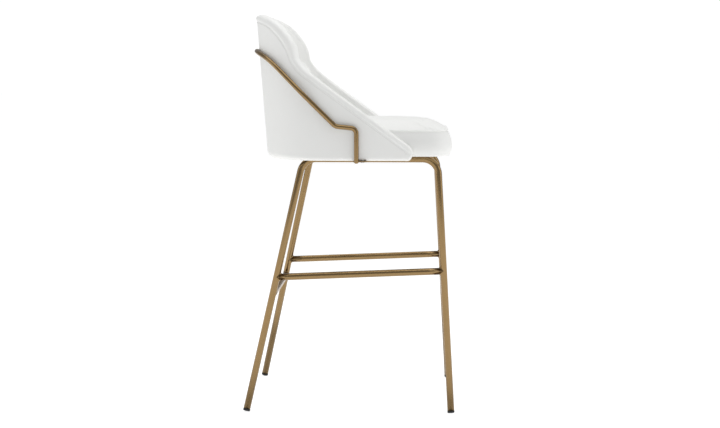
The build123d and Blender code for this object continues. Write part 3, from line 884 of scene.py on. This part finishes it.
def seam_frame(points):
    """Outward, upward-in-the-surface and forward unit vectors along the seam."""
    tangent = unit(np.gradient(points, axis=0))
    centre_y = shell_rear(points[:, 2]) - CORNER_RADIUS
    flat = SHELL_HALF_WIDTH - CORNER_RADIUS
    away = np.stack([
        np.sign(points[:, 0]) * np.maximum(np.abs(points[:, 0]) - flat, 0),
        np.maximum(points[:, 1] - centre_y, 0),
        np.zeros(len(points)),
    ], axis=-1)
    outward = unit(away - dot(away, tangent) * tangent)
    return outward, unit(np.cross(tangent, outward)), tangent


def side_low(depth):
    """Height of the cover's lower edge at a depth, where it curves up to the arm's tip."""
    lift = np.clip((TIP_FOOT - depth) / (TIP_FOOT - TIP_FRONT), 0, 1)
    return SHELL_BOTTOM + TIP_CURL * (1 - np.sqrt(1 - lift**2))


def side_high(depth):
    """Height of the cover's upper edge at a depth, where it curves down to the arm's tip."""
    lift = np.clip((ARM_LOW - depth) / (ARM_LOW - TIP_FRONT), 0, 1)
    return np.where(lift > 0, TIP_HEIGHT + TIP_RISE * np.sqrt(1 - lift**2), top_height(depth))


class STOOL_OT_outer_cover(bpy.types.Operator):
    """Make the leatherette over the outside of the back and arms

    Columns follow the plan from arm tip to arm tip; rows run from the hem under the shell, round a
    quarter circle, up the face to the seam. The face sinks a little towards the seam.
    """

    bl_idname = "stool.outer_cover"
    bl_label = "Outer cover"

    def execute(self, context):
        reach = along_for_depth(TIP_FRONT, TIP_HEIGHT)
        along = reach * np.cos(np.linspace(0, math.pi, 361))[None, :]
        v = (1 - np.cos(np.linspace(0, math.pi, 110))) / 2
        height = settled_height(side_high, along)
        depth_low = plan_point(along, np.full(along.shape, SHELL_BOTTOM + 0.01))[0][..., 1]
        low = side_low(depth_low)
        rise = low + (height - low) * v[:, None]
        seam_dip = SEAM_DIP * np.exp(-(((height - rise) / SEAM_REACH) ** 2))
        rearward = plan_point(along, height)[1][..., 1]
        hem_radius = SIDE_HEM + (REAR_HEM - SIDE_HEM) * rearward**2
        over_hem = np.clip((rise - low) / hem_radius, 0, 1)
        hem_round = hem_radius * (1 - np.sqrt(1 - (1 - over_hem) ** 2))
        inward = seam_dip + hem_round
        face, normal = plan_point(np.broadcast_to(along, rise.shape), rise)
        face = face - inward[..., None] * normal
        hem = face[:1] - np.linspace(0.014, 0.001, 6)[:, None, None] * normal[:1]
        grid = np.concatenate([hem, face])
        cover = grid_piece("back_outer_cover_skin", grid, *LEATHERETTE)
        thicken(cover, COVER_THICKNESS)
        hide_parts("back_outer_cover")
        return {"FINISHED"}


def thicken(piece, thickness):
    """Gives a sheet its thickness, towards the inside."""
    solidify = piece.modifiers.new("thickness", "SOLIDIFY")
    solidify.thickness = thickness
    solidify.offset = -1.0
    solidify.use_even_offset = False


class STOOL_OT_edge_roll(bpy.types.Operator):
    """Make the padded roll along the top of the back and arms

    A superellipse, wider than high, is carried along the seam in the plane of the outward and upward
    directions. It is fuller round the head, pinched where the fold across the back meets it, and
    closes to a point at each arm's foot.
    """

    bl_idname = "stool.edge_roll"
    bl_label = "Edge roll"

    def execute(self, context):
        rise = context.scene.stool_leatherette.roll_height
        seam = seam_curve()
        outward, upward, _ = seam_frame(seam)
        height = seam[:, 2]
        head = np.clip((height - HEAD_HEIGHT) / HEAD_BLEND, 0, 1)
        crown = np.clip((height - CROWN_HEIGHT) / CROWN_BLEND, 0, 1)
        fullness = rise * (1 + HEAD_FULLER * head - CROWN_FLATTER * crown)
        fold = np.exp(-(((height - FOLD_HEIGHT) / FOLD_BLEND) ** 2))
        fullness = fullness * (1 - FOLD_PINCH * fold)
        number = np.arange(len(seam))
        distance = np.minimum(number, number[::-1]) / ROLL_CLOSING_POINTS
        closing = np.sqrt(1 - np.clip(1 - distance, 0, 1) ** 2) + 1e-3
        angle = np.linspace(0, 2 * math.pi, 40, endpoint=False)
        across = np.sign(np.cos(angle)) * np.abs(np.cos(angle)) ** 0.78 * ROLL_HALF_WIDTH
        above = np.sign(np.sin(angle)) * np.abs(np.sin(angle)) ** 0.86
        lift = np.where(above > 0, fullness[:, None], ROLL_DEPTH) * above
        middle = seam - outward * (ROLL_HALF_WIDTH - ROLL_OVERHANG)
        grid = middle[:, None] + closing[:, None, None] * (
            across[None, :, None] * outward[:, None] + lift[..., None] * upward[:, None]
        )
        roll = grid_piece("back_edge_roll", grid, *LEATHERETTE, wrap_columns=True, caps=True)
        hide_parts("back_wrap_pad")
        return {"FINISHED"}


class STOOL_OT_wall_lining(bpy.types.Operator):
    """Make the padded inside of the arms and back

    Columns follow the plan and each column is a closed loop: up the padded inner face, over its top
    under the roll, down the face against the core and back along the bottom.
    """

    bl_idname = "stool.wall_lining"
    bl_label = "Wall lining"

    def execute(self, context):
        reach = along_for_depth(ARM_LOW + 0.004, 0.69)
        along = np.linspace(-reach, reach, 301)[None, :]
        height = settled_height(top_height, along)
        top = height - 0.001
        v = np.linspace(0, 1, 40)[:, None]
        inner_rise = LINING_BOTTOM + (top - LINING_BOTTOM) * v
        swell = LINING_SWELL * np.sin(math.pi * v) ** 0.7
        inner = self.face(along, inner_rise, WALL + 0.0005 + swell)
        back = self.face(along, inner_rise[::-1], np.full_like(inner_rise, CORE_INNER + 0.001))
        grid = np.concatenate([inner, back])
        lining = grid_piece("back_wall_lining", grid, *LEATHERETTE, wrap_rows=True)
        close_ends(lining)
        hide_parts("back_wrap_pad")
        return {"FINISHED"}

    @staticmethod
    def face(along, height, inward):
        """A surface a distance inside the shell's outer face."""
        points, normal = plan_point(np.broadcast_to(along, height.shape), height)
        return points - inward[..., None] * normal


class STOOL_OT_shell_core(bpy.types.Operator):
    """Make the bent plywood inside the wall

    Each column is a closed loop: up the outer face and down the inner one, a little under the seam.
    """

    bl_idname = "stool.shell_core"
    bl_label = "Shell core"

    def execute(self, context):
        reach = along_for_depth(ARM_LOW + 0.014, 0.69)
        along = np.linspace(-reach, reach, 241)[None, :]
        height = settled_height(top_height, along)
        rise = CORE_BOTTOM + (height - CORE_TOP_DROP - CORE_BOTTOM) * np.linspace(0, 1, 24)[:, None]
        outer = STOOL_OT_wall_lining.face(along, rise, np.full_like(rise, CORE_OUTER))
        inner = STOOL_OT_wall_lining.face(along, rise[::-1], np.full_like(rise, CORE_INNER))
        grid = np.concatenate([outer, inner])
        core = grid_piece("back_shell_plywood", grid, "birch_plywood", "plywood", wrap_rows=True, turn=True)
        close_ends(core)
        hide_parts("back_shell_core")
        return {"FINISHED"}


def close_ends(piece):
    """Fills a loop's two open ends, each with one flat face."""
    mesh = piece.data
    work = bmesh.new()
    work.from_mesh(mesh)
    open_edges = [edge for edge in work.edges if edge.is_boundary]
    bmesh.ops.holes_fill(work, edges=open_edges, sides=0)
    work.to_mesh(mesh)
    work.free()


# ================================================================ padding
def fill_with_air(piece, pressure, most, held):
    """Fills a cover by cloth simulation, and keeps each point within a distance of its start.

    held gives each vertex's hold, from 0, free, to 1, sewn down. The result is written into the mesh.
    """
    scene = bpy.context.scene
    mesh = piece.data
    start = vertex_array(mesh)
    group = piece.vertex_groups.new(name="sewn")
    for number, weight in enumerate(held.tolist()):
        group.add([number], weight, "REPLACE")
    cloth = piece.modifiers.new("filling", "CLOTH")
    cloth.settings.quality = 4
    cloth.settings.mass = 0.3
    cloth.settings.tension_stiffness = CLOTH_STIFFNESS
    cloth.settings.compression_stiffness = CLOTH_STIFFNESS
    cloth.settings.bending_stiffness = 0.6
    cloth.settings.use_pressure = True
    cloth.settings.uniform_pressure_force = pressure
    cloth.settings.effector_weights.gravity = 0.0
    cloth.settings.vertex_group_mass = "sewn"
    cloth.point_cache.frame_start = 1
    cloth.point_cache.frame_end = CLOTH_FRAMES
    for number in range(1, CLOTH_FRAMES + 1):
        scene.frame_set(number)
    filled = piece.evaluated_get(bpy.context.evaluated_depsgraph_get()).to_mesh()
    end = vertex_array(filled)
    piece.modifiers.remove(cloth)
    piece.vertex_groups.remove(group)
    scene.frame_set(1)
    move = end - start
    size = np.linalg.norm(move, axis=1, keepdims=True)
    limited = start + move * np.minimum(1.0, most / np.maximum(size, 1e-9))
    mesh.vertices.foreach_set("co", limited.ravel())
    mesh.update()


def vertex_array(mesh):
    """A mesh's vertices as rows of three."""
    values = np.empty(len(mesh.vertices) * 3)
    mesh.vertices.foreach_get("co", values)
    return values.reshape(-1, 3)


def seat_plan(count):
    """The cushion's plan as evenly spaced points and outward directions.

    It runs anticlockwise from the front middle. It is four straight runs and four quarter circles,
    the front corners smaller than the rear ones.
    """
    def corner(centre_x, centre_y, radius, start):
        angle = np.radians(np.linspace(start, start + 90, 60))
        direction = np.stack([np.cos(angle), np.sin(angle)], axis=-1)
        return np.array([centre_x, centre_y]) + radius * direction

    front, rear = SEAT_FRONT_CORNER, SEAT_REAR_CORNER
    whole = np.concatenate([
        [(0.0, SEAT_FRONT)],
        corner(SEAT_HALF_WIDTH - front, SEAT_FRONT + front, front, -90),
        corner(SEAT_HALF_WIDTH - rear, SEAT_REAR - rear, rear, 0),
        corner(rear - SEAT_HALF_WIDTH, SEAT_REAR - rear, rear, 90),
        corner(front - SEAT_HALF_WIDTH, SEAT_FRONT + front, front, 180),
        [(0.0, SEAT_FRONT)],
    ])
    distance = np.concatenate([[0], np.cumsum(np.linalg.norm(np.diff(whole, axis=0), axis=1))])
    even = np.linspace(0, distance[-1], count, endpoint=False)
    points = np.stack([np.interp(even, distance, whole[:, axis]) for axis in range(2)], axis=-1)
    tangent = unit(np.roll(points, -1, axis=0) - np.roll(points, 1, axis=0))
    return points, np.stack([tangent[:, 1], -tangent[:, 0]], axis=-1)


def seat_grid(crown, bulge, count=360):
    """The boxed, crowned cushion, and the number of its seam's row.

    Rows run from the middle of the underside out to the hem, up the side to the seam, and in over the
    crown. The side stands out as a half sine between hem and seam, fullest below its middle, and the
    crown falls as a superellipse from the middle to the seam.
    """
    plan, outward = seat_plan(count)
    centre = np.array([0.0, SEAT_CROWN_Y])
    under = np.linspace(0.04, 1, UNDER_ROWS, endpoint=False)[:, None, None]
    side = np.linspace(0, 1, 26)
    over = np.sin(np.linspace(math.pi / 2, 0.02, 60))[1:]
    hem_in = SEAT_HEM_INSET * (1 - side) + SEAT_SEAM_INSET * side
    stand = bulge * np.sin(math.pi * side**0.88)
    tuck = SEAT_TUCK * np.exp(-(((1 - side) * (SEAT_SEAM - SEAT_BOTTOM) / SEAT_TUCK_REACH) ** 2))
    inset = (hem_in - stand + tuck)[:, None, None] * outward
    wall = plan - inset
    rings = [centre + under * (wall[0] - centre), wall, centre + over[:, None, None] * (wall[-1] - centre)]
    heights = [
        np.full(UNDER_ROWS, SEAT_BOTTOM),
        SEAT_BOTTOM + (SEAT_SEAM - SEAT_BOTTOM) * side,
        SEAT_SEAM + crown * np.sqrt(1 - over**3.2),
    ]
    flat, height = np.concatenate(rings), np.concatenate(heights)[:, None, None]
    grid = np.concatenate([flat, np.broadcast_to(height, (*flat.shape[:2], 1))], axis=-1)
    return grid, UNDER_ROWS + len(side) - 1


class STOOL_OT_seat_cushion(bpy.types.Operator):
    """Make the seat cushion, filled by cloth simulation between its sewn seams"""

    bl_idname = "stool.seat_cushion"
    bl_label = "Seat cushion"

    def execute(self, context):
        padding = context.scene.stool_padding
        grid, seam_row = seat_grid(padding.crown, padding.bulge)
        cushion = grid_piece("seat_cushion", grid, *LEATHERETTE, wrap_columns=True, caps=True)
        held = np.zeros(grid.shape[:2])
        held[: UNDER_ROWS + 1] = 1.0
        held[seam_row] = 1.0
        held = np.append(held.ravel(), [1.0, 0.0])
        fill_with_air(cushion, padding.pressure, padding.most_swell, held)
        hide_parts("seat_cover", "seat_foam")
        return {"FINISHED"}


def pad_grid(low, high, span, depth, columns=180, rows=72):
    """A pad against the inside of the back.

    Its back follows the lining. Its front stands off by a depth times two superellipses, one across
    the plan and one up the pad, so that it falls to nothing all round.
    """
    along = span * np.sin(np.linspace(-math.pi / 2, math.pi / 2, columns))[None, :]
    rise = np.cos(np.linspace(math.pi, 0, rows))[:, None]
    limit = np.full(along.shape, high)
    for _ in range(8):
        limit = np.minimum(high, top_height(plan_point(along, limit, WALL)[0][..., 1]) - PAD_UNDER_ROLL)
    height = (low + limit) / 2 + (limit - low) / 2 * rise
    across = np.clip(1 - np.abs(along / span) ** 3.0, 0, 1) ** 0.55
    upward = np.clip(1 - np.abs(rise) ** 3.4, 0, 1) ** 0.5
    stand = depth * across * upward
    points, normal = plan_point(np.broadcast_to(along, height.shape), height, WALL + PAD_GAP)
    front = points - stand[..., None] * normal
    back = points + 0.0002 * normal
    return np.concatenate([front, back[::-1]])


class STOOL_OT_back_pads(bpy.types.Operator):
    """Make the upper and lower back pads, filled by cloth simulation inside their sewn edges"""

    bl_idname = "stool.back_pads"
    bl_label = "Back pads"

    def execute(self, context):
        padding = context.scene.stool_padding
        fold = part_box("upper_back_pad")[0].z + 0.003
        spans = {
            "lower_back_pad": (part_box("lower_back_pad")[0].z - 0.02, fold - 0.0015, 0.262),
            "upper_back_pad": (fold + 0.0015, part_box("upper_back_pad")[1].z - 0.002, 0.215),
        }
        for node, (low, high, span) in spans.items():
            grid = pad_grid(low, high, span, padding.pad_depth)
            pad = grid_piece(f"{node}_cushion", grid, *LEATHERETTE, wrap_rows=True, turn=True)
            merge_edges(pad)
            held = np.where(distance_off_wall(vertex_array(pad.data)) < SEWN_BAND, 1.0, 0.0)
            fill_with_air(pad, padding.pressure, padding.most_swell, held)
            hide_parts(node)
        return {"FINISHED"}


def distance_off_wall(points):
    """How far points stand off the lining, measured square to it in plan."""
    flat = SHELL_HALF_WIDTH - CORNER_RADIUS
    centre_y = shell_rear(points[:, 2]) - CORNER_RADIUS
    x = np.maximum(np.abs(points[:, 0]) - flat, 0)
    y = np.maximum(points[:, 1] - centre_y, 0)
    return CORNER_RADIUS - WALL - PAD_GAP - np.hypot(x, y)


def merge_edges(piece):
    """Welds the points that meet along a pad's edges."""
    work = bmesh.new()
    work.from_mesh(piece.data)
    bmesh.ops.remove_doubles(work, verts=work.verts, dist=0.0004)
    bmesh.ops.holes_fill(work, edges=[edge for edge in work.edges if edge.is_boundary], sides=0)
    bmesh.ops.recalc_face_normals(work, faces=work.faces)
    work.to_mesh(piece.data)
    work.free()
    piece.data.polygons.foreach_set("use_smooth", np.ones(len(piece.data.polygons), bool))


# ================================================================ sewing
def thread_capsule():
    """One stitch along +X: five rings of six points, full in the middle and drawn in at both ends."""
    u = np.linspace(0, 1, 5)
    angle = np.linspace(0, 2 * math.pi, 6, endpoint=False)
    radius = np.sqrt(np.maximum(1 - (2 * u - 1) ** 4, 0.02))
    x = np.broadcast_to((u - 0.5)[:, None], (5, 6))
    ring = np.stack([x, radius[:, None] * np.cos(angle), radius[:, None] * np.sin(angle)], axis=-1)
    faces, _, _ = grid_faces(5, 6, False, True)
    return ring.reshape(-1, 3), faces


def stitches(name, path, up, settings, thread_radius=0.00032):
    """Stitches laid end to end along a path, each turned to the path and lying on the surface."""
    distance = np.concatenate([[0], np.cumsum(np.linalg.norm(np.diff(path, axis=0), axis=1))])
    pitch = settings.stitch + settings.stitch_gap
    centres = np.arange(pitch / 2, distance[-1], pitch)

    def at(values):
        return np.stack([np.interp(centres, distance, values[:, axis]) for axis in range(3)], axis=-1)

    place, tangent, normal = at(path), unit(at(np.gradient(path, axis=0))), unit(at(up))
    side = np.cross(normal, tangent)
    shape, faces = thread_capsule()
    points = (
        place[:, None]
        + shape[None, :, :1] * settings.stitch * tangent[:, None]
        + shape[None, :, 1:2] * thread_radius * 1.3 * side[:, None]
        + shape[None, :, 2:] * thread_radius * normal[:, None]
    )
    all_faces = faces[None] + (np.arange(len(centres)) * len(shape))[:, None, None]
    ends = np.stack([np.arange(6)[::-1], np.arange(6) + 24])
    all_ends = ends[None] + (np.arange(len(centres)) * len(shape))[:, None, None]
    mesh = bpy.data.meshes.new(name)
    corners = all_faces.reshape(-1, 4).tolist() + all_ends.reshape(-1, 6).tolist()
    mesh.from_pydata(points.reshape(-1, 3).tolist(), [], corners)
    mesh.polygons.foreach_set("use_smooth", np.ones(len(mesh.polygons), bool))
    return piece_of(name, mesh, "sewing_thread")


class STOOL_OT_stitching(bpy.types.Operator):
    """Sew two rows of topstitching on the outer cover beside its seam"""

    bl_idname = "stool.stitching"
    bl_label = "Topstitching"

    def execute(self, context):
        settings = context.scene.stool_leatherette
        seam = seam_curve(900)
        outward, upward, _ = seam_frame(seam)
        for row, below in enumerate((0.0062, 0.0102)):
            dip = SEAM_DIP * math.exp(-((below / SEAM_REACH) ** 2))
            path = seam - below * upward - (dip - 0.0001) * outward
            keep = path[:, 2] > SHELL_BOTTOM + 0.012
            stitches(f"topstitch_row_{row + 1}", path[keep], outward[keep], settings)
        return {"FINISHED"}


class STOOL_OT_seat_welt(bpy.types.Operator):
    """Make the thin welt in the cushion's seam: a round cord carried along the plan"""

    bl_idname = "stool.seat_welt"
    bl_label = "Seat welt"

    def execute(self, context):
        plan, outward = seat_plan(300)
        ring = plan - (SEAT_SEAM_INSET - 0.0003) * outward
        path = np.column_stack([ring, np.full(len(ring), SEAT_SEAM + 0.0003)])
        angle = np.linspace(0, 2 * math.pi, 10, endpoint=False)[None, :, None]
        radius = 0.0009
        out = np.column_stack([outward, np.zeros(len(ring))])[:, None]
        grid = path[:, None] + radius * (out * np.cos(angle) + np.array([0.0, 0.0, 1.0]) * np.sin(angle))
        grid_piece("seat_seam_welt", grid, *LEATHERETTE, wrap_rows=True, wrap_columns=True, turn=True)
        return {"FINISHED"}


# ================================================================ carried-over pieces
FINISHES = {
    "satin_brass_plate": ["rod_tab_left", "rod_tab_right"],
    "black_powder_coat": ["front_mount_plate", "rear_mount_plate"],
    "black_dust_cloth": ["seat_dust_cover"],
    "birch_plywood": ["seat_board"],
    "bright_zinc": ["rod_tab_screws", "seat_bolts", "seat_washers", "seat_tee_nuts", "shell_screws"],
}


class STOOL_OT_carried_pieces(bpy.types.Operator):
    """Give the pieces that keep their frame shape their finishes"""

    bl_idname = "stool.carried_pieces"
    bl_label = "Plates, boards and screws"

    def execute(self, context):
        for finish, nodes in FINISHES.items():
            for node in nodes:
                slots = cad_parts[node].data.materials
                slots.clear()
                slots.append(material(finish))
        return {"FINISHED"}


# ================================================================ stage
def area_light(name, place, target, size, power):
    """A rectangular soft light that looks at a point."""
    light = bpy.data.lights.new(name, "AREA")
    light.shape = "RECTANGLE"
    light.size, light.size_y = size
    light.energy = power
    lamp = bpy.data.objects.new(name, light)
    bpy.context.scene.collection.objects.link(lamp)
    lamp.location = place
    lamp.rotation_euler = (Vector(target) - Vector(place)).to_track_quat("-Z", "Y").to_euler()


def studio_world():
    """A grey surround that lights the stool evenly, seen as plain white by camera rays."""
    world = bpy.data.worlds.new("studio")
    bpy.context.scene.world = world
    world.use_nodes = True
    tree = world.node_tree
    sky = tree.nodes["Background"]
    sky.inputs["Color"].default_value = (0.36, 0.365, 0.37, 1.0)
    sky.inputs["Strength"].default_value = 1.0
    seen = tree.nodes.new("ShaderNodeBackground")
    seen.inputs["Color"].default_value = (1.0, 1.0, 1.0, 1.0)
    seen.inputs["Strength"].default_value = 1.05
    rays = tree.nodes.new("ShaderNodeLightPath")
    mix = tree.nodes.new("ShaderNodeMixShader")
    tree.links.new(rays.outputs["Is Camera Ray"], mix.inputs[0])
    tree.links.new(sky.outputs[0], mix.inputs[1])
    tree.links.new(seen.outputs[0], mix.inputs[2])
    tree.links.new(mix.outputs[0], tree.nodes["World Output"].inputs["Surface"])


class STOOL_OT_stage(bpy.types.Operator):
    """Make the floor, the lights and the camera"""

    bl_idname = "stool.stage"
    bl_label = "Stage"

    def execute(self, context):
        settings = context.scene.stool_stage
        half = 60.0
        corners = [(-half, -half, 0.0), (half, -half, 0.0), (half, half, 0.0), (-half, half, 0.0)]
        mesh = bpy.data.meshes.new("studio_floor")
        mesh.from_pydata(corners, [], [(0, 1, 2, 3)])
        mesh.materials.append(material("studio_floor"))
        floor = bpy.data.objects.new("studio_floor", mesh)
        context.scene.collection.objects.link(floor)
        middle = (0.0, 0.0, 0.6)
        area_light("overhead_softbox", (0.3, -0.2, 3.4), middle, (3.4, 3.4), settings.overhead)
        area_light("front_softbox", (-0.6, -3.6, 1.7), middle, (2.6, 2.4), settings.front)
        area_light("rear_softbox", (-0.4, 3.6, 1.5), middle, (2.6, 2.4), settings.rear)
        studio_world()
        lens = bpy.data.cameras.new("camera")
        lens.sensor_width = 36.0
        lens.lens = settings.lens
        camera = bpy.data.objects.new("camera", lens)
        context.scene.collection.objects.link(camera)
        camera.location = (-settings.distance, -0.181, 0.8815)
        camera.rotation_euler = Vector((0.9949, 0.0389, -0.0936)).to_track_quat("-Z", "Y").to_euler()
        context.scene.camera = camera
        context.scene.view_settings.view_transform = "Standard"
        return {"FINISHED"}


# ================================================================ panel and running
OPERATORS = [
    STOOL_OT_stage,
    STOOL_OT_side_frames,
    STOOL_OT_cross_bars,
    STOOL_OT_welds,
    STOOL_OT_foot_caps,
    STOOL_OT_back_rod,
    STOOL_OT_outer_cover,
    STOOL_OT_edge_roll,
    STOOL_OT_shell_core,
    STOOL_OT_wall_lining,
    STOOL_OT_back_pads,
    STOOL_OT_seat_cushion,
    STOOL_OT_seat_welt,
    STOOL_OT_stitching,
    STOOL_OT_carried_pieces,
]
SETTINGS = {
    "stool_brass": BrassSettings,
    "stool_leatherette": LeatheretteSettings,
    "stool_padding": PaddingSettings,
    "stool_stage": StageSettings,
}


class STOOL_PT_panel(bpy.types.Panel):
    """Lists the stool's operators"""

    bl_idname = "STOOL_PT_panel"
    bl_label = "Bar stool"
    bl_space_type = "VIEW_3D"
    bl_region_type = "UI"
    bl_category = "Stool"

    def draw(self, context):
        for group in SETTINGS:
            box = self.layout.box()
            settings = getattr(context.scene, group)
            for name in settings.__annotations__:
                box.prop(settings, name)
        for operator in OPERATORS:
            self.layout.operator(operator.bl_idname)


def register():
    for group, settings in SETTINGS.items():
        bpy.utils.register_class(settings)
        setattr(bpy.types.Scene, group, bpy.props.PointerProperty(type=settings))
    for item in [*OPERATORS, STOOL_PT_panel]:
        bpy.utils.register_class(item)


def unregister():
    for item in [STOOL_PT_panel, *reversed(OPERATORS)]:
        bpy.utils.unregister_class(item)
    for group, settings in SETTINGS.items():
        delattr(bpy.types.Scene, group)
        bpy.utils.unregister_class(settings)


def main():
    """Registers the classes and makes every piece."""
    register()
    for operator in OPERATORS:
        group, name = operator.bl_idname.split(".")
        getattr(getattr(bpy.ops, group), name)()


if __name__ == "__main__":
    main()
